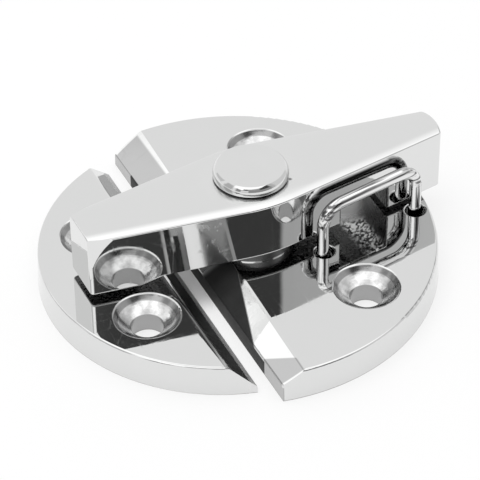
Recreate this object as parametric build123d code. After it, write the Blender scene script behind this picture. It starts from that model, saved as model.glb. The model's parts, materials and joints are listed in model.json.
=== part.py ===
from build123d import *
from math import cos, radians, sin, tan
import os

# Boat hatch latch, cast and polished in stainless steel.
# A round plate is split in two: the base plate stands on the hatch frame and carries the lever,
# and the keeper plate stands on the lid. The lever's nose lies over the keeper when it is closed.
# Lengths are in millimetres and angles in degrees. X runs along the closed lever towards its tail,
# Y along the split and Z up from the deck. Places are written from the centre of the round plate.

# Round plates
plate_r = 40.0
plate_t = 6.4
rim_draft = 0.3
rim_edge = 0.5
base_split_x = -8.3
split_gap = 3.15
keeper_r = 36.1
keeper_reach = 38.35

# Ground bevels along the split: a low wall, then a slope up to the top face
bevel_angle = 31.0
keeper_bevel_angle = 45.0
bevel_skew = 1.6
base_wall_h = 3.2
keeper_wall_h = 1.4
bevel_edge = 1.2
keeper_bevel_edge = 2.5
wall_edge = 0.4

# Countersunk screw holes
screw_hole_r = 3.2
sink_r = 6.4
sink_depth = 2.6
sink_sag = 0.3
sink_edge = 0.45
base_screw_x = 16.9
base_screw_inset = 11.01
keeper_screw_x = -24.0
keeper_screw_y = 13.05

# Pivot
pivot_x = 3.9
seat_r = 8.7
seat_edge = 0.3
head_r = 7.3
head_h = 2.2
head_flat_r = 6.6
head_bulge = 0.3
head_foot = 0.25
head_seam = 0.15
shank_r = 4.0
thread_r = 3.0
tail_chamfer = 0.5
tail_reach = 0.2
running = 0.06
face_gap = 0.05
thread_gap = 0.02
thrust_t = 0.8
thrust_r = 8.2
spring_r = 5.9
spring_t = 0.5
spring_bow = 0.4
spring_seat_r = 6.3
spring_seat_depth = 1.0
pocket_r = 7.5
pocket_depth = 4.0
tail_washer_r = 6.0
tail_washer_t = 1.0
nut_flats = 10.0
nut_t = 2.4
nut_chamfer = 0.4
nut_cap_slope = 1.7

# Lever
lever_gap = 2.6
lever_top_z = 20.9
nose_len = 35.65
tail_len = 39.9
nose_w = 9.55
hub_w = 20.4
tail_w = 7.85
hub_bend_r = 30.0
tail_crown = 0.7
pad_gap = 1.3
foot_gap = 1.1
pad_len = 9.8
pad_ramp = 4.4
pad_bend_r = 1.5
foot_len = 13.3
arch_len = 11.0
arch_top_z = 15.0
arch_corner = 3.2
crown_run = 3.0
crown_drop = 0.4
buff_r = 80.0
buff_edge_r = 13.2
buff_len = 13.0
buff_drop = 11.0
lever_top_edge = 0.35
lever_end_edge = 0.8
lever_under_edge = 0.35

# Bail
rod_r = 1.2
leg_b_y = -7.3
leg_rim_gap = 3.32
bail_w = 22.5
bail_angle = 10.1
bar_z = 16.9
bail_corner = 4.2
foot_clear = 0.05
bail_hole_r = 2.0
bail_hole_edge = 0.35
hole_a_shift = (0.45, 0.2)
hole_b_shift = (0.0, -0.3)
collar_r = 2.4
collar_t = 1.2
collar_room_r = 2.7
bail_lift = 2.0

# Cutting tools run past the faces by this much, joined bodies share this much, and this is tiny
overcut = 1.0
overlap = 0.5
tiny = 0.01

# Worked out from the sizes above
keeper_split_x = base_split_x - split_gap
keeper_centre_x = keeper_r - keeper_reach
under_z = plate_t + lever_gap
pad_z = plate_t + pad_gap
foot_z = plate_t + foot_gap
seat_h = lever_gap - thrust_t - face_gap
thrust_z = plate_t + seat_h
head_z = lever_top_z + head_seam
nose_x = pivot_x - nose_len
tail_x = pivot_x + tail_len
base_screw_y = ((plate_r - base_screw_inset) ** 2 - base_screw_x**2) ** 0.5
leg_b_x = ((plate_r - leg_rim_gap) ** 2 - leg_b_y**2) ** 0.5
leg_a_x = leg_b_x - bail_w * cos(radians(bail_angle))
leg_a_y = leg_b_y - bail_w * sin(radians(bail_angle))
collar_room_h = foot_clear + collar_t + bail_lift + face_gap
frame_x = (keeper_reach - tail_x) / 2

ABOVE = (Align.CENTER, Align.CENTER, Align.MIN)


def post(radius, low, high, x=0.0, y=0.0):
    """Upright round bar or hole between two heights."""
    return Pos(x, y, low) * Cylinder(radius, high - low, align=ABOVE)


def ring(outer, inner, low, high, x=0.0, y=0.0):
    """Flat round washer between two heights."""
    return post(outer, low, high, x, y) - post(inner, low, high, x, y)


def edges_at(solid, kind, test):
    """Edges of one kind whose middle passes a test."""
    return [edge for edge in solid.edges().filter_by(kind) if test(edge.position_at(0.5))]


def round_blank(radius, centre_x):
    """Cast disc with a drafted rim and a soft upper edge, its wide face on the deck."""
    disc = Cone(radius, radius - rim_draft, plate_t, align=ABOVE)
    disc = fillet(disc.edges().filter_by(GeomType.CIRCLE).sort_by(Axis.Z)[-1], rim_edge)
    return Pos(centre_x, 0, 0) * disc


def side_of(x, side):
    """Block that holds everything on one side of a split at x, with side as 1 or -1."""
    reach = 3 * plate_r
    return Pos(x + side * reach / 2, 0, 0) * Box(reach, reach, reach)


def slope_tool(x, side, wall_h, angle, skew, edge):
    """Block above the ground slope, which rises from the wall to a rounded crease at the top."""
    run = (plate_t - wall_h) / tan(radians(angle))
    drop = plate_r * tan(radians(angle))
    far = side * (run + plate_t)
    outline = Polyline((-side * plate_r, wall_h - drop), (side * run, plate_t), (far, plate_t),
                       (far, 2 * plate_t), (-side * plate_r, 2 * plate_t), close=True)
    section = make_face(outline)
    crease = [v for v in section.vertices() if abs(v.X - side * run) < tiny]
    tool = extrude(Plane.XZ * fillet(crease, edge), amount=2 * plate_r, both=True)
    return Pos(x, 0, 0) * Rot(0, 0, skew) * tool


def screw_tool(x, y):
    """Screw hole with its countersink, which is hollowed a little like a bowl."""
    low = (screw_hole_r, plate_t - sink_depth)
    high = (sink_r, plate_t)
    slant = (Vector(*high) - Vector(*low)).normalized()
    middle = (Vector(*high) + Vector(*low)) / 2
    belly = (middle.X + sink_sag * slant.Y, middle.Y - sink_sag * slant.X)
    outline = Polyline(high, (sink_r, plate_t + overcut), (0, plate_t + overcut),
                       (0, -overcut), (screw_hole_r, -overcut), low)
    section = make_face(outline + ThreePointArc(low, belly, high))
    return Pos(x, y, 0) * revolve(Plane.XZ * section, Axis.Z)


def soften_holes(plate, centres, radius, edge):
    """Rounds the rims of holes in the plate's top face."""
    rims = [
        e for e in plate.edges().filter_by(GeomType.CIRCLE)
        if abs(e.radius - radius) < tiny and abs(e.arc_center.Z - plate_t) < tiny
        and any((e.arc_center - Vector(x, y, plate_t)).length < tiny for x, y in centres)
    ]
    return fillet(rims, edge)


def leg_places():
    """Centres of the bail's two legs."""
    return [(leg_a_x, leg_a_y), (leg_b_x, leg_b_y)]


def bail_hole_places():
    """Centres of the two loose holes, in which the legs stand a little to one side."""
    shifts = (hole_a_shift, hole_b_shift)
    return [(x + dx, y + dy) for (x, y), (dx, dy) in zip(leg_places(), shifts)]


def soften_wall(plate):
    """Rounds the long straight edge between the wall at the split and the slope."""
    crease = edges_at(plate, GeomType.LINE, lambda p: tiny < p.Z < plate_t - tiny)
    return fillet([edge for edge in crease if edge.length > keeper_r], wall_edge)


def make_base_plate():
    """Larger plate: seat for the lever, screw holes, bail holes and the pocket for the nut."""
    plate = round_blank(plate_r, 0) & side_of(base_split_x, 1)
    plate = plate - slope_tool(base_split_x, 1, base_wall_h, bevel_angle, -bevel_skew, bevel_edge)
    plate = soften_wall(plate)
    plate = plate + post(seat_r, plate_t - overlap, plate_t + seat_h, pivot_x)
    seat_rim = edges_at(plate, GeomType.CIRCLE, lambda p: p.Z > plate_t + seat_h - tiny)
    plate = fillet(seat_rim, seat_edge)
    screws = [(base_screw_x, -base_screw_y), (base_screw_x, base_screw_y)]
    for x, y in screws:
        plate = plate - screw_tool(x, y)
    for x, y in bail_hole_places():
        plate = plate - post(bail_hole_r, -overcut, plate_t + overcut, x, y)
    plate = soften_holes(plate, screws, sink_r, sink_edge)
    plate = soften_holes(plate, bail_hole_places(), bail_hole_r, bail_hole_edge)
    for x, y in leg_places():
        plate = plate - post(collar_room_r, -overcut, collar_room_h, x, y)
    plate = plate - post(pocket_r, -overcut, pocket_depth, pivot_x)
    return plate - post(thread_r + running, -overcut, plate_t + seat_h + overcut, pivot_x)


def make_keeper_plate():
    """Smaller plate across the split, which the lever's nose lies over."""
    plate = round_blank(keeper_r, keeper_centre_x) & side_of(keeper_split_x, -1)
    plate = plate - slope_tool(keeper_split_x, -1, keeper_wall_h, keeper_bevel_angle, 0,
                               keeper_bevel_edge)
    plate = soften_wall(plate)
    screws = [(keeper_screw_x, -keeper_screw_y), (keeper_screw_x, keeper_screw_y)]
    for x, y in screws:
        plate = plate - screw_tool(x, y)
    return soften_holes(plate, screws, sink_r, sink_edge)


def lever_plan():
    """Outline from above: a long diamond with a rounded hub and a crowned tail."""
    shoulder_x = tail_x - tail_crown
    sides = Polyline((pivot_x, -hub_w / 2), (shoulder_x, -tail_w / 2))
    tail = ThreePointArc((shoulder_x, -tail_w / 2), (tail_x, 0), (shoulder_x, tail_w / 2))
    rest = Polyline((shoulder_x, tail_w / 2), (pivot_x, hub_w / 2), (nose_x, nose_w / 2),
                    (nose_x, -nose_w / 2), (pivot_x, -hub_w / 2))
    plan = make_face(sides + tail + rest)
    hub = [v for v in plan.vertices() if abs(v.X - pivot_x) < tiny]
    return fillet(hub, hub_bend_r)


def lever_profile():
    """Outline from the side: nose pad, ramp, flat hub, arch and tail foot."""
    pad_end = nose_x + pad_len
    foot_x = tail_x - foot_len
    arch_x = foot_x - arch_len
    high_z = lever_top_z + overcut
    outline = Polyline(
        (nose_x - overcut, high_z), (tail_x + overcut, high_z),
        (tail_x + overcut, foot_z), (foot_x, foot_z), (foot_x, arch_top_z),
        (arch_x, arch_top_z), (arch_x, under_z), (pad_end + pad_ramp, under_z),
        (pad_end, pad_z), (nose_x - overcut, pad_z), close=True)
    side = make_face(outline)
    crown = [v for v in side.vertices() if abs(v.Y - arch_top_z) < tiny]
    side = fillet(crown, arch_corner)
    bends = [v for v in side.vertices() if pad_end - tiny < v.X < pad_end + pad_ramp + tiny]
    return fillet(bends, pad_bend_r)


def crown_tool():
    """Block over the lever's near half: a flat underside that rolls down towards the long side."""
    roll_r = (crown_run**2 + crown_drop**2) / (2 * crown_drop)
    beyond = crown_run + overcut
    low = (roll_r**2 - beyond**2) ** 0.5 - roll_r
    flat_in = hub_w / 2 + overcut
    roll = RadiusArc((crown_run, 0), (-overcut, low), -roll_r)
    rest = Polyline((-overcut, low), (-overcut, 2 * overcut), (flat_in, 2 * overcut),
                    (flat_in, 0), (crown_run, 0))
    nose = Vector(nose_x, -nose_w / 2, lever_top_z)
    hub = Vector(pivot_x, -hub_w / 2, lever_top_z)
    tail = Vector(tail_x - tail_crown, -tail_w / 2, lever_top_z)
    ahead = (hub - nose).normalized()
    start = nose - ahead * beyond
    path = FilletPolyline(start, hub, tail + (tail - hub).normalized() * beyond,
                          radius=hub_bend_r)
    across = Plane(origin=start, x_dir=Vector(-ahead.Y, ahead.X, 0), z_dir=ahead)
    return sweep(across * make_face(roll + rest), path=path)


def buff_tool():
    """Skin that the buffing wheel takes off the nose's near upper corner, with a domed face."""
    nose = Vector(nose_x, -nose_w / 2, lever_top_z)
    hub = Vector(pivot_x, -hub_w / 2, lever_top_z)
    side = Plane(origin=nose, x_dir=hub - nose, z_dir=(0, 0, 1))
    corner = Pos(buff_len / 2 - overcut, 0, -buff_drop / 2 + overcut)
    block = corner * Box(buff_len + 2 * overcut, buff_len, buff_drop + 2 * overcut)
    depth = (buff_r**2 - buff_edge_r**2) ** 0.5
    return side * (block - Pos(buff_len, depth, -buff_drop) * Sphere(buff_r))


def make_lever():
    """Cast bar, with its bore for the pivot and a seat for the spring washer."""
    body = extrude(lever_plan(), amount=lever_top_z + overcut)
    side = Plane.XZ * lever_profile()
    body = body & extrude(side, amount=hub_w, both=True)
    body = body - crown_tool() - mirror(crown_tool(), about=Plane.XZ)
    rolled = lever_top_z - crown_drop
    ends = [e for e in edges_at(body, GeomType.LINE, lambda p: abs(p.Y) > tail_w / 4)
            if e.bounding_box().size.Z > rolled - pad_z - tiny]
    body = fillet(ends, lever_end_edge)
    top = [e for e in body.edges() if abs(e.position_at(0.5).Z - rolled) < tiny
           or e.position_at(0.5).Z > rolled and abs(e.position_at(0.5).X - nose_x) < tiny
           or e.position_at(0.5).Z > rolled and e.position_at(0.5).X > tail_x - tail_crown]
    body = fillet(top, lever_top_edge)
    body = body - buff_tool() - mirror(buff_tool(), about=Plane.XZ)
    under = [e for e in body.edges() if e.position_at(0.5).Z < arch_top_z + tiny
             and (abs(e.position_at(0.5).Y) > tail_w / 4 or e.position_at(0.5).X < nose_x + tiny)]
    body = fillet(under, lever_under_edge)
    body = body - post(shank_r + running, under_z - overcut, lever_top_z + overcut, pivot_x)
    seat_z = lever_top_z - spring_seat_depth
    return body - post(spring_seat_r, seat_z, lever_top_z + overcut, pivot_x)


def make_pivot_pin():
    """Pin with a flat round head, a plain shank for the lever and a threaded tail."""
    rim = Vector(head_r, head_foot)
    crown = Vector(head_flat_r, head_h)
    slant = (crown - rim).normalized()
    belly = (rim + crown) / 2 + Vector(slant.Y, -slant.X) * head_bulge
    outline = Polyline(crown, (0, head_h), (0, 0), (head_r - head_foot, 0), rim)
    section = make_face(outline + ThreePointArc(rim, belly, crown))
    head = Pos(pivot_x, 0, head_z) * revolve(Plane.XZ * section, Axis.Z)
    shank = post(shank_r, thrust_z, head_z + overlap, pivot_x)
    tail_z = pocket_depth - tail_washer_t - nut_t - tail_reach
    tail = post(thread_r, tail_z, thrust_z + overlap, pivot_x)
    tail = chamfer(tail.edges().filter_by(GeomType.CIRCLE).sort_by(Axis.Z)[0], tail_chamfer)
    return head + shank + tail


def make_thrust_washer():
    """Thin plastic washer between the raised seat and the lever."""
    return ring(thrust_r, shank_r + running, thrust_z, thrust_z + thrust_t, pivot_x)


def make_spring_washer():
    """Dished washer under the head, which presses the lever down on its seat."""
    low = lever_top_z - spring_seat_depth + face_gap
    inner = shank_r + running
    outline = Polyline((inner, low + spring_bow), (spring_r, low), (spring_r, low + spring_t),
                       (inner, low + spring_bow + spring_t), close=True)
    section = Plane.XZ * make_face(outline)
    return Pos(pivot_x, 0, 0) * revolve(section, Axis.Z)


def make_tail_washer():
    """Flat washer in the pocket under the base plate."""
    low = pocket_depth - tail_washer_t
    return ring(tail_washer_r, thread_r + thread_gap, low, pocket_depth, pivot_x)


def make_lock_nut():
    """Thin hexagon nut on the pin's tail."""
    top = pocket_depth - tail_washer_t
    hexagon = RegularPolygon(nut_flats / 2, 6, major_radius=False)
    nut = Pos(pivot_x, 0, top - nut_t) * extrude(hexagon, amount=nut_t)
    corner_r = nut_flats / 2 / cos(radians(30))
    cap_r = corner_r - nut_chamfer
    wide_r = cap_r + nut_t * nut_cap_slope
    rounder = Pos(pivot_x, 0, top - nut_t) * Cone(cap_r, wide_r, nut_t, align=ABOVE)
    return (nut & rounder) - post(thread_r + thread_gap, 0, top + overcut, pivot_x)


def make_bail():
    """Round rod bent to a U, with its feet on the deck."""
    path = FilletPolyline((0, 0, foot_clear), (0, 0, bar_z), (bail_w, 0, bar_z),
                          (bail_w, 0, foot_clear), radius=bail_corner)
    section = Plane(origin=(0, 0, foot_clear), z_dir=(0, 0, 1)) * Circle(rod_r)
    rod = sweep(section, path=path)
    return Pos(leg_a_x, leg_a_y, 0) * Rot(0, 0, bail_angle) * rod


def make_bail_collars():
    """Two push-on collars at the bail's feet, too wide for the holes above them."""
    low = foot_clear
    first, second = [
        ring(collar_r, rod_r + thread_gap, low, low + collar_t, x, y) for x, y in leg_places()
    ]
    return first + second


def write_parts():
    """Writes each piece, moved so that the origin is under the middle of the whole latch."""
    pieces = {
        "base_plate": make_base_plate(),
        "keeper_plate": make_keeper_plate(),
        "lever": make_lever(),
        "pivot_pin": make_pivot_pin(),
        "thrust_washer": make_thrust_washer(),
        "spring_washer": make_spring_washer(),
        "tail_washer": make_tail_washer(),
        "lock_nut": make_lock_nut(),
        "bail": make_bail(),
        "bail_collars": make_bail_collars(),
    }
    os.makedirs("parts", exist_ok=True)
    for name, piece in pieces.items():
        export_step(Pos(frame_x, 0, 0) * piece, f"parts/{name}.step")


write_parts()
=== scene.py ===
import json
import math

import bpy
from mathutils import Matrix, Vector


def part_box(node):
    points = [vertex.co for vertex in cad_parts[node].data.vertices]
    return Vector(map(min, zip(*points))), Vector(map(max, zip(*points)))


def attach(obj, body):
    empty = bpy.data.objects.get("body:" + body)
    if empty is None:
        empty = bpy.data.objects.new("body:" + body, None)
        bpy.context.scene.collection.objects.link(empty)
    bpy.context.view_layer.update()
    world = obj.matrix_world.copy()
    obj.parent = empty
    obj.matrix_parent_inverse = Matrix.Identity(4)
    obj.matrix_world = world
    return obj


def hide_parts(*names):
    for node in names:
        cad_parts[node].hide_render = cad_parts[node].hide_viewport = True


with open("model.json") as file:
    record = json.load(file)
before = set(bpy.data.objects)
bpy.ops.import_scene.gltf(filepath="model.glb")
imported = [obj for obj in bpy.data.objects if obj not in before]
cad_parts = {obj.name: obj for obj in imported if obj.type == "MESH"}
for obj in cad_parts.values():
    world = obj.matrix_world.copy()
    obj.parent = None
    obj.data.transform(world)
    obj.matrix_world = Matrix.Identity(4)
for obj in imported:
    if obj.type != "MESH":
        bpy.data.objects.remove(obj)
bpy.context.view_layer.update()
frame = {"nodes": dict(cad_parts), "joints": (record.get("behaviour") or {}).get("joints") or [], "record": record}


# Camera.
# A long lens looks down on the latch from its near left, where the keeper plate is.
# The latch lies above the middle of the picture, so the lens is shifted a little.
MM = 0.001
disc_centre = Vector((-2.725 * MM, 0, 0))
heading = math.radians(24.74)
climb = math.radians(40.57)
tilt = math.radians(-0.81)
distance = 503.8 * MM
back = Vector((-math.sin(heading) * math.cos(climb),
               -math.cos(heading) * math.cos(climb), math.sin(climb)))
level_right = (-back).cross(Vector((0, 0, 1))).normalized()
level_up = level_right.cross(-back)
side = math.cos(tilt) * level_right + math.sin(tilt) * level_up
top = -math.sin(tilt) * level_right + math.cos(tilt) * level_up
lens = bpy.data.cameras.new("long_lens")
lens.sensor_width = 36
lens.lens = 193.3
lens.shift_x = 0.0138
lens.shift_y = 0.0505
lens.clip_start = 0.01
camera = bpy.data.objects.new("camera", lens)
stand = Matrix((side, top, back)).transposed().to_4x4()
stand.translation = disc_centre + back * distance
camera.matrix_world = stand
bpy.context.scene.collection.objects.link(camera)
bpy.context.scene.camera = camera
bpy.context.scene.view_settings.view_transform = "Standard"


# Studio.
# A pale floor lies under a white tent with one soft lamp above it. Panels of other greys hang in
# the tent, because a mirror-bright latch has no look of its own: its faces show what is round it.
class Wire:
    """One value in a material. Sums and products of wires add their Math nodes."""

    def __init__(self, tree, socket):
        self.tree = tree
        self.socket = socket

    def node(self, kind, settings, inputs, output=0):
        """Adds a node of any type, with its settings first and then its sockets."""
        made = self.tree.nodes.new(kind)
        for name, value in settings.items():
            setattr(made, name, value)
        for key, value in inputs.items():
            if isinstance(value, Wire):
                self.tree.links.new(value.socket, made.inputs[key])
            else:
                made.inputs[key].default_value = value
        return Wire(self.tree, made.outputs[output]) if made.outputs else None

    def math(self, operation, first, second):
        return self.node("ShaderNodeMath", {"operation": operation}, {0: first, 1: second})

    def __add__(self, other):
        return self.math("ADD", self, other)

    def __radd__(self, other):
        return self.math("ADD", other, self)

    def __sub__(self, other):
        return self.math("SUBTRACT", self, other)

    def __rsub__(self, other):
        return self.math("SUBTRACT", other, self)

    def __mul__(self, other):
        return self.math("MULTIPLY", self, other)

    def __rmul__(self, other):
        return self.math("MULTIPLY", other, self)

    def __truediv__(self, other):
        return self.math("DIVIDE", self, other)

    def __pow__(self, other):
        return self.math("POWER", self, other)

    def __abs__(self):
        return self.math("ABSOLUTE", self, 0)

    def larger(self, other):
        return self.math("MAXIMUM", self, other)

    def smaller(self, other):
        return self.math("MINIMUM", self, other)

    def rise(self, low, high):
        """Goes smoothly from 0 to 1 between two values, or from 1 to 0 if low is the larger."""
        return self.node("ShaderNodeMapRange", {"interpolation_type": "SMOOTHSTEP"},
                         {"Value": self, "From Min": low, "From Max": high})

    def axis(self, letter):
        return self.node("ShaderNodeSeparateXYZ", {}, {0: self}, letter)

    def blend(self, first, second):
        """Mixes two colours by this value."""
        return self.node("ShaderNodeMix", {"data_type": "RGBA"}, {0: self, 6: first, 7: second}, 2)


def grey(level):
    return (level, level, level, 1)


tent = bpy.data.worlds.new("white_tent")
bpy.context.scene.world = tent
tent.use_nodes = True
tent.node_tree.nodes.clear()
sky = Wire(tent.node_tree, None)
look = sky.node("ShaderNodeTexCoord", {}, {}, "Generated")
camera_ray = sky.node("ShaderNodeLightPath", {}, {}, "Is Camera Ray")
degree = math.pi / 180
azimuth = look.math("ARCTAN2", look.axis("X"), 0 - look.axis("Y")) / degree
elevation = look.node("ShaderNodeMath", {"operation": "ARCSINE"}, {0: look.axis("Z")}) / degree


def panel(left, right, low, high, soft):
    """Part of the tent between two azimuths and two heights, in degrees, 0 at the front."""
    across = azimuth.rise(left - soft, left) * azimuth.rise(right + soft, right)
    return across * elevation.rise(low - soft, low) * elevation.rise(high + soft, high)


def lay(under, mask, level):
    """Puts a panel of one brightness over what hangs behind it."""
    return under + mask * (level - under)


tent_white = 0.93
sheet_white = 1.35
overhead_white = 0.95
# Each row hangs in front of the rows before it: left, right, low, high, softness, brightness.
panels = [
    (-147.8, -118, 10, 50, 0.4, 0.66),  # grey, behind on the left
    (-152, -143, 29, 46, 2, sheet_white),  # bright strip at its edge
    (-102, -82, 5, 38, 8, 0.53),  # grey on the left
    (46, 100, -10, 54, 8, 0.75),  # pale grey on the right
    (34, 44, -10, 46, 6, 0.55),  # its front edge
    (106, 122, 28, 48, 8, 0.42),  # grey, behind on the right
    (-64, 32, -10, 24, 8, 0.32),  # table below the camera
    (-64, 31, 26, 60, 5, 0.06),  # dark room that the camera stands in
    (-63, -47.2, 28, 50, 0.4, 1.9),  # tall lit strip left of it
    (-52, -33, 4, 21, 3, 0.85),  # light patch on the table
    (-32, -1, 26, 44, 5, 0.4),  # grey backdrop in the dark room
]
glow = tent_white
for left, right, low, high, soft, level in panels:
    glow = lay(glow, panel(left, right, low, high, soft), level)
# A long white sheet hangs over the camera. Its lower edge climbs a little from left to right.
sheet_edge = 43.4 + 0.17 * azimuth
sheet = (elevation - sheet_edge).rise(-0.3, 0.5) * azimuth.rise(-84, -78) * azimuth.rise(46, 34)
glow = lay(glow, sheet, sheet_white)
# The tent is as bright all round higher up, and plain again overhead.
glow = lay(glow, elevation.rise(46, 60), sheet_white)
glow = lay(glow, elevation.rise(70, 79), overhead_white)
seen = camera_ray + glow * (1 - camera_ray)
shell = seen.node("ShaderNodeBackground", {}, {"Color": grey(1), "Strength": seen})
shell.node("ShaderNodeOutputWorld", {}, {"Surface": shell})

floor_mesh = bpy.data.meshes.new("floor")
reach = 3.0
floor_drop = 0.02 * MM
floor_mesh.from_pydata([(-reach, -reach, 0), (reach, -reach, 0), (reach, reach, 0),
                        (-reach, reach, 0)], [], [(0, 1, 2, 3)])
floor_mesh.transform(Matrix.Translation((0, 0, -floor_drop)))
floor = bpy.data.objects.new("floor", floor_mesh)
bpy.context.scene.collection.objects.link(floor)


def start_material(name):
    """A material with nothing in it yet, and the wire of its Object coordinates."""
    made = bpy.data.materials.new(name)
    made.use_nodes = True
    made.node_tree.nodes.clear()
    wire = Wire(made.node_tree, None)
    return made, wire.node("ShaderNodeTexCoord", {}, {}, "Object")


def close_material(surface):
    surface.node("ShaderNodeOutputMaterial", {}, {"Surface": surface})


def radius_from(place, x, y):
    """Distance from an upright line, in millimetres."""
    across = (place.axis("X") - x) / MM
    along = (place.axis("Y") - y) / MM
    return (across * across + along * along) ** 0.5


# Most of the floor's white is its own, so that the paper is white round the latch, in its mirror
# faces too. Close under the lever it has little of its own, and the shadow there stays dark.
own_white = 0.72
shade_r = 12
paper, spot = start_material("pale_paper")
matt = spot.node("ShaderNodeBsdfDiffuse", {}, {"Color": grey(0.94)})
bright = spot.node("ShaderNodeEmission", {}, {"Color": grey(1), "Strength": 1.0})
white_ray = spot.node("ShaderNodeLightPath", {}, {}, "Is Camera Ray")
for kind in ("Is Glossy Ray", "Is Transmission Ray"):
    white_ray = white_ray.larger(spot.node("ShaderNodeLightPath", {}, {}, kind))
split = (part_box("base_plate")[0][0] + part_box("keeper_plate")[1][0]) / 2
under_lever = radius_from(spot, split, 0).rise(shade_r, shade_r / 2)
share = own_white * white_ray * (1 - 0.8 * under_lever)
close_material(share.node("ShaderNodeMixShader", {}, {0: share, 1: matt, 2: bright}))
floor_mesh.materials.append(paper)

soft_box = bpy.data.lights.new("soft_box", "AREA")
soft_box.shape = "DISK"
soft_box.size = 0.9
soft_box.energy = 2.0
lamp = bpy.data.objects.new("soft_box", soft_box)
lamp_lean = Matrix.Rotation(-0.35, 4, "Y")
lamp.matrix_world = Matrix.Translation((-0.4, 0.1, 1.1)) @ lamp_lean
lamp.visible_glossy = False
bpy.context.scene.collection.objects.link(lamp)


# Base plate and keeper plate.
# Both are cut from one round investment casting in marine stainless steel, ground along the split
# and buffed to a mirror. Their screw seats are turned after polishing, so fine rings show there.
def noise(place, scale, detail=2.0, stretch=(1, 1, 1)):
    """Cloudy value between 0 and 1, with scale in repeats a millimetre."""
    pulled = place.node("ShaderNodeMapping", {}, {"Vector": place, "Scale": stretch})
    return place.node("ShaderNodeTexNoise", {"noise_dimensions": "3D"},
                      {"Vector": pulled, "Scale": scale / MM, "Detail": detail}, "Fac")


def waves(distance, turn):
    """Rings round a middle, with turn in radians a millimetre."""
    return distance.node("ShaderNodeMath", {"operation": "SINE"}, {0: distance * turn})


def wipe_marks(place):
    """Thin hairlines that cloths and ropes leave on a buffed face, running three ways."""
    first = noise(place, 1.3, 3, (0.05, 1.4, 0.4)).rise(0.58, 0.70)
    second = noise(place, 1.1, 3, (1.3, 0.05, 0.5)).rise(0.60, 0.72)
    third = noise(place, 1.2, 3, (0.3, 0.3, 0.03)).rise(0.62, 0.74)
    return first.larger(second.larger(third))


def haze(place):
    """Cloudy film of polish and salt, a little thicker here and there."""
    return noise(place, 0.16, 4).rise(0.42, 0.72)


def steel(place, colour, roughness, heights):
    """Metal shader with its bumps, each a pair of a height and how deep it goes in millimetres."""
    normal = None
    for bump_height, depth in heights:
        sockets = {"Height": bump_height, "Distance": depth * MM, "Strength": 1.0}
        if normal:
            sockets["Normal"] = normal
        normal = place.node("ShaderNodeBump", {}, sockets)
    return place.node("ShaderNodeBsdfPrincipled", {},
                      {"Base Color": colour, "Metallic": 1.0, "Roughness": roughness,
                       "Normal": normal})


def dress(material, *names):
    """Gives CAD nodes their finish."""
    for name in names:
        frame["nodes"][name].data.materials.clear()
        frame["nodes"][name].data.materials.append(material)


mounts = {mount["name"]: mount for mount in frame["record"]["mounts"]}
hinge = next(joint for joint in frame["joints"] if joint["name"] == "lever_turn")
pivot_x = hinge["pos_m"][0]
plate_r = 40.0
plate_top = 6.4
sink_r = 6.4
bore_r = 3.2
seat_r = 8.7
wall_top = 3.3
painted_black_half = 31.0
bevel_reach = 6.5
split_half = (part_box("base_plate")[0][0] - split) / MM
disc_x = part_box("base_plate")[1][0] - plate_r * MM
arch_x = pivot_x + 20.8 * MM
painted_arch_shade_r = 7
buffed = (0.73, 0.735, 0.73, 1)
as_cast = (0.50, 0.49, 0.47, 1)
casting, place = start_material("buffed_casting")
height = place.axis("Z") / MM
along = place.axis("Y") / MM
from_split = abs(place.axis("X") - split) / MM
base_side = place.axis("X").rise(split, split + 0.1 * MM)
keeper_side = place.axis("X").rise(split, split - 0.1 * MM)

# Countersinks: a painted dark reflection ring at the lip, a bright cone with rings and smudges, and a bore painted
# grey as shade.
from_screw = 2 * plate_r
for mount in ("base_screws", "keeper_screws"):
    x = mounts[mount]["pos_m"][0]
    spacing = mounts[mount]["dims"]["spacing_y_mm"] * MM
    for y in (-spacing / 2, spacing / 2):
        from_screw = radius_from(place, x, y).smaller(from_screw)
seat = from_screw.rise(sink_r + 0.05, sink_r - 0.15)
rings = seat * waves(from_screw, 13.0)
lip = seat * from_screw.rise(sink_r - 1.0, sink_r - 0.8)
bore = from_screw.rise(bore_r + 0.15, bore_r)
smudge = noise(place, 0.8, 4).rise(0.30, 0.62)

# Along the split: low walls painted darker as shade, the base plate's wall painted black as shade
# except at its ends, and a painted light streak, a reflection, at the foot of the keeper's bevel.
wall_painted_shade = from_split.rise(split_half + 0.3, split_half + 0.1)
wall_painted_shade = wall_painted_shade * height.rise(wall_top, wall_top - 0.25)
painted_black = wall_painted_shade * abs(along).rise(painted_black_half + 0.3, painted_black_half) * base_side
keeper_painted_streak = from_split.rise(split_half + 1.8, split_half + 1.2)
keeper_painted_streak = keeper_painted_streak * keeper_side * height.rise(3.2, 2.4)

# The base plate's bevel: painted grey reflections at its near tip and on its far side, and a painted dark
# reflection of the lever beside it.
inside_rim = radius_from(place, disc_x, 0).rise(plate_r - 0.5, plate_r - 0.8)
base_bevel = base_side * height.rise(plate_top, plate_top - 0.1) * inside_rim
painted_grey_tip = (-0.66 * place.axis("Y") - 0.75 * (place.axis("X") - split)) / MM
painted_grey_tip = painted_grey_tip.rise(19.0, 19.3)
painted_grey_slope = painted_grey_tip.larger(along.rise(8, 9))
painted_grey_slope = painted_grey_slope * base_bevel * from_split.rise(bevel_reach + 0.5, bevel_reach)
reflection_corner_x, reflection_corner_y, reflection_lean = -6.6, -11.55, 0.284
painted_lever_reflection = place.axis("X") / MM - reflection_corner_x - reflection_lean * (along - reflection_corner_y)
painted_lever_reflection = painted_lever_reflection.rise(0.1, -0.3) * along.rise(-2, -5) * base_bevel
painted_black = painted_black.larger(painted_lever_reflection)

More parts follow.
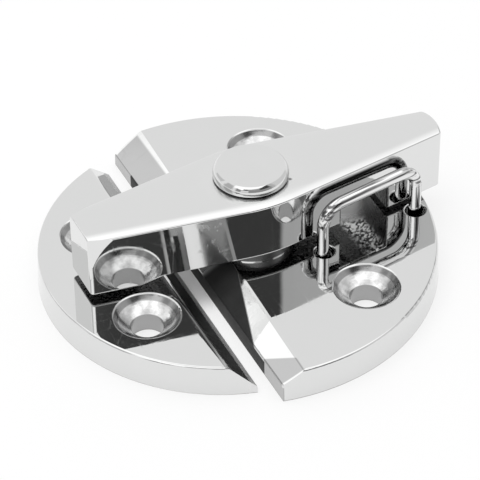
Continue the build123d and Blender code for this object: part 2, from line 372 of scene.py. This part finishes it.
# The raised seat's low wall painted dark as shade, painted shade under the lever's arch, and the rough underside.
seat_wall_painted_shade = radius_from(place, pivot_x, 0).rise(seat_r + 0.4, seat_r + 0.1)
seat_wall_painted_shade = seat_wall_painted_shade * (height - plate_top).rise(0.1, 0.3)
painted_arch_shade = radius_from(place, arch_x, 0).rise(painted_arch_shade_r, 2)
under = place.axis("Z").rise(0.12 * MM, 0.02 * MM)

hairlines = wipe_marks(place)
cloud = noise(place, 0.12, 4)
tone = (0.35 + 0.4 * cloud).blend(grey(0.76), buffed)
tone = seat.blend(tone, smudge.blend(grey(0.60), grey(0.80)))
tone = (lip * 0.75).blend(tone, grey(0.25))
tone = bore.blend(tone, grey(0.40))
tone = painted_grey_slope.blend(tone, grey(0.42))
tone = wall_painted_shade.blend(tone, grey(0.45))
tone = keeper_painted_streak.blend(tone, grey(0.80))
tone = seat_wall_painted_shade.blend(tone, grey(0.16))
tone = (painted_arch_shade * 0.8).blend(tone, grey(0.30))
tone = painted_black.blend(tone, cloud.blend(grey(0.02), grey(0.12)))
tone = under.blend(tone, as_cast)
gloss = 0.02 + 0.04 * haze(place) + 0.05 * hairlines + 0.16 * seat + 0.42 * under
gloss = gloss + 0.6 * painted_black + 0.25 * seat_wall_painted_shade + 0.3 * painted_arch_shade + 0.4 * keeper_painted_streak
bumps = [(noise(place, 0.09, 1), 0.025), (hairlines, 0.0005), (rings, 0.002),
         (noise(place, 1.6, 4) * under, 0.12)]
close_material(steel(place, tone, gloss, bumps))
dress(casting, "base_plate", "keeper_plate")


# Lever.
# One stout casting, buffed on top and on its sides. The arch in its tail and its lower faces are
# left as cast, so they are pebbly and dull. Their dark tone is partly painted shade, and the arch is
# painted darker still as shade, with painted glints.
lever_top = 20.9
hub_z, pad_z, foot_z = 9.0, 7.7, 7.5
pad_end, hub_start = -25.85, -21.45
arch_near, arch_far, arch_top = 15.6, 26.6, 15.0
pit_x, pit_y = 6.2, -4.35
worn_left, worn_right = -15.5, -8.5
lever_metal, place = start_material("lever_casting")
x = (place.axis("X") - pivot_x) / MM
z = place.axis("Z") / MM
arch = x.rise(arch_near - 0.35, arch_near - 0.05) * x.rise(arch_far + 0.35, arch_far + 0.05)
arch = arch * z.rise(arch_top + 0.25, arch_top + 0.02)
ramp = x.node("ShaderNodeMapRange", {}, {"Value": x, "From Min": pad_end, "From Max": hub_start,
                                         "To Min": pad_z, "To Max": hub_z})
lower = (z - ramp).rise(0.12, 0.03) * x.rise(arch_near + 0.5, arch_near)
lower = lower.larger(z.rise(foot_z + 0.12, foot_z + 0.03))
cast_and_shade = arch.larger(lower)
pebbles = noise(place, 1.7, 5)
# Painted glints: light specks on the arch's inner faces.
painted_glints = pebbles.rise(0.47, 0.57) * x.rise(21, 23) * x.rise(26.4, 25.4)
hairlines = wipe_marks(place)
cloud = noise(place, 0.12, 4)
pit = radius_from(place, pivot_x + pit_x * MM, pit_y * MM).rise(0.55, 0.15)
rubbed = radius_from(place, pivot_x, 0).rise(13, 9) * z.rise(lever_top - 0.2, lever_top - 0.05)
worn = x.rise(worn_left, worn_left + 2) * x.rise(worn_right, worn_right - 2)
worn = worn * z.rise(lever_top - 0.3, lever_top - 0.6)
tone = (0.3 + 0.4 * cloud).blend(grey(0.77), (0.74, 0.745, 0.74, 1))
tone = cast_and_shade.blend(tone, pebbles.blend(grey(0.06), grey(0.20)))
tone = (pit * 0.8).blend(tone, grey(0.08))
tone = arch.blend(tone, painted_glints.blend(pebbles.blend(grey(0.02), grey(0.13)), grey(0.90)))
gloss = 0.02 + 0.03 * haze(place) + 0.06 * hairlines + cast_and_shade * (0.16 + 0.2 * pebbles)
gloss = gloss + 0.16 * rubbed + worn * (0.12 + 0.10 * hairlines)
bumps = [(noise(place, 0.08, 1), 0.04), (hairlines, 0.0005), (1 - pit, 0.03),
         (pebbles * cast_and_shade, 0.16)]
close_material(steel(place, tone, gloss, bumps))
dress(lever_metal, "lever")


# Pivot pin.
# A turned pin whose flat head holds the lever down. The head is faced on a lathe and then buffed,
# which leaves very faint rings round its middle. The seam under it is painted dark, as shade.
pin_metal, place = start_material("turned_pin")
lathe = waves(radius_from(place, pivot_x, 0), 22.0)
hairlines = wipe_marks(place)
painted_seam_shade = (place.axis("Z") / MM).rise(lever_top + 0.42, lever_top + 0.3)
tone = noise(place, 0.2, 3).blend(grey(0.76), buffed)
tone = painted_seam_shade.blend(tone, grey(0.10))
gloss = 0.04 + 0.05 * hairlines + 0.02 * noise(place, 0.3, 3)
bumps = [(lathe, 0.0006), (hairlines, 0.0006), (noise(place, 0.15, 1), 0.01)]
close_material(steel(place, tone, gloss, bumps))
dress(pin_metal, "pivot_pin")


# Bail.
# A drawn rod bent to a U, which a padlock's shackle passes through. Its legs stand loosely in two
# holes, and two collars pushed on underneath keep it from being pulled out.
rod_radius = 1.2 * MM
bend_radius = 4.2 * MM
low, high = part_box("bail")
foot = Vector(low) + Vector((rod_radius, rod_radius, 0))
lean = Vector(high) - Vector((rod_radius, rod_radius, rod_radius)) - foot
lean_angle = math.atan2(lean.y, lean.x)

# Drawing leaves fine lines along the rod; their dark streaks are painted reflections. Its rear side,
# towards the lever, is painted dark as a reflection of darker things.
rod_metal, place = start_material("drawn_rod")
across = ((place.axis("Y") - foot.y) * math.cos(lean_angle)
          - (place.axis("X") - foot.x) * math.sin(lean_angle)) / rod_radius
aligned = place.node("ShaderNodeMapping", {}, {"Vector": place, "Rotation": (0, 0, -lean_angle)})
on_bar = ((place.axis("Z") - foot.z) / lean.z).rise(0.72, 0.85)
painted_dark_rear = across.rise(0.1, 0.7) * (0.5 + 0.5 * on_bar)
leg_lines = noise(place, 1.5, 3, (1, 1, 0.04))
bar_lines = noise(aligned, 1.5, 3, (0.04, 1, 1))
drawn_lines_and_reflections = leg_lines + on_bar * (bar_lines - leg_lines)
tone = drawn_lines_and_reflections.rise(0.60, 0.46).blend(grey(0.16), grey(0.80))
tone = painted_dark_rear.blend(tone, drawn_lines_and_reflections.rise(0.4, 0.65).blend(grey(0.02), grey(0.35)))
gloss = 0.05 + 0.05 * drawn_lines_and_reflections
bumps = [(drawn_lines_and_reflections, 0.004), (noise(place, 0.2, 1), 0.01)]
close_material(steel(place, tone, gloss, bumps))


def bent_rod_tree():
    """Geometry Nodes: a round rod that goes up, across and down again, with rounded bends."""
    tree = bpy.data.node_groups.new("bent_rod", "GeometryNodeTree")
    for name in ("Leg Spacing", "Bar Height", "Rod Radius", "Bend Radius"):
        tree.interface.new_socket(name, in_out="INPUT", socket_type="NodeSocketFloat")
    tree.interface.new_socket("Metal", in_out="INPUT", socket_type="NodeSocketMaterial")
    tree.interface.new_socket("Geometry", in_out="OUTPUT", socket_type="NodeSocketGeometry")
    given = tree.nodes.new("NodeGroupInput")
    spacing, bar, radius, bend, metal = [Wire(tree, socket) for socket in given.outputs[:5]]
    corner = spacing.node("ShaderNodeCombineXYZ", {}, {"Z": bar})
    far_corner = spacing.node("ShaderNodeCombineXYZ", {}, {"X": spacing, "Z": bar})
    far_foot = spacing.node("ShaderNodeCombineXYZ", {}, {"X": spacing})
    line = spacing.node("GeometryNodeCurvePrimitiveQuadrilateral", {"mode": "POINTS"},
                        {"Point 1": (0, 0, 0), "Point 2": corner, "Point 3": far_corner,
                         "Point 4": far_foot})
    line = line.node("GeometryNodeSetSplineCyclic", {}, {"Geometry": line, "Cyclic": False})
    line = line.node("GeometryNodeFilletCurve", {"mode": "POLY"},
                     {"Curve": line, "Count": 32, "Radius": bend})
    outline = line.node("GeometryNodeCurvePrimitiveCircle", {},
                        {"Resolution": 64, "Radius": radius})
    rod = line.node("GeometryNodeCurveToMesh", {},
                    {"Curve": line, "Profile Curve": outline, "Fill Caps": True})
    rod = rod.node("GeometryNodeRealizeInstances", {}, {"Geometry": rod})
    rod = rod.node("GeometryNodeSetMaterial", {}, {"Geometry": rod, "Material": metal})
    rod.node("NodeGroupOutput", {}, {"Geometry": rod})
    return tree


bender = bpy.data.objects.new("bender", bpy.data.meshes.new("blank"))
bpy.context.scene.collection.objects.link(bender)
bending = bender.modifiers.new("bent_rod", "NODES")
bending.node_group = bent_rod_tree()
rod_sizes = {"Leg Spacing": lean.xy.length, "Bar Height": lean.z, "Rod Radius": rod_radius,
             "Bend Radius": bend_radius, "Metal": rod_metal}
for item in bending.node_group.interface.items_tree:
    if item.name in rod_sizes:
        bending[item.identifier] = rod_sizes[item.name]
shaped = bender.evaluated_get(bpy.context.evaluated_depsgraph_get())
rod_mesh = bpy.data.meshes.new_from_object(shaped)
bpy.data.objects.remove(bender)
rod_mesh.transform(Matrix.Translation(foot) @ Matrix.Rotation(lean_angle, 4, "Z"))
rod_mesh.shade_smooth()
rod_mesh.set_sharp_from_angle(angle=math.radians(50))
bail = bpy.data.objects.new("bent_bail", rod_mesh)
bpy.context.scene.collection.objects.link(bail)
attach(bail, "loose_bail")
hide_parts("bail")


# Washers, nut and collars.
# Plain stainless fasteners with a satin finish, turned or stamped from bar and strip. They are
# pushed or screwed on, out of sight under the pin's head and in the hollows below the plate.
satin, place = start_material("satin_fasteners")
grain = noise(place, 2.0, 4)
tone = grain.blend(grey(0.55), grey(0.66))
gloss = 0.28 + 0.15 * grain
close_material(steel(place, tone, gloss, [(grain, 0.01)]))
dress(satin, "spring_washer", "tail_washer", "lock_nut", "bail_collars")


# Thrust washer.
# A thin washer cut from black bearing plastic. It lies loosely between the raised seat and the
# lever, so that one stainless face doesn't rub on the other.
plastic, place = start_material("bearing_plastic")
grain = noise(place, 3.0, 3)
tone = grain.blend(grey(0.035), grey(0.06))
normal = place.node("ShaderNodeBump", {}, {"Height": grain, "Distance": 0.01 * MM})
close_material(place.node("ShaderNodeBsdfPrincipled", {}, {
    "Base Color": tone, "Roughness": 0.42 + 0.1 * grain, "Normal": normal}))
dress(plastic, "thrust_washer")
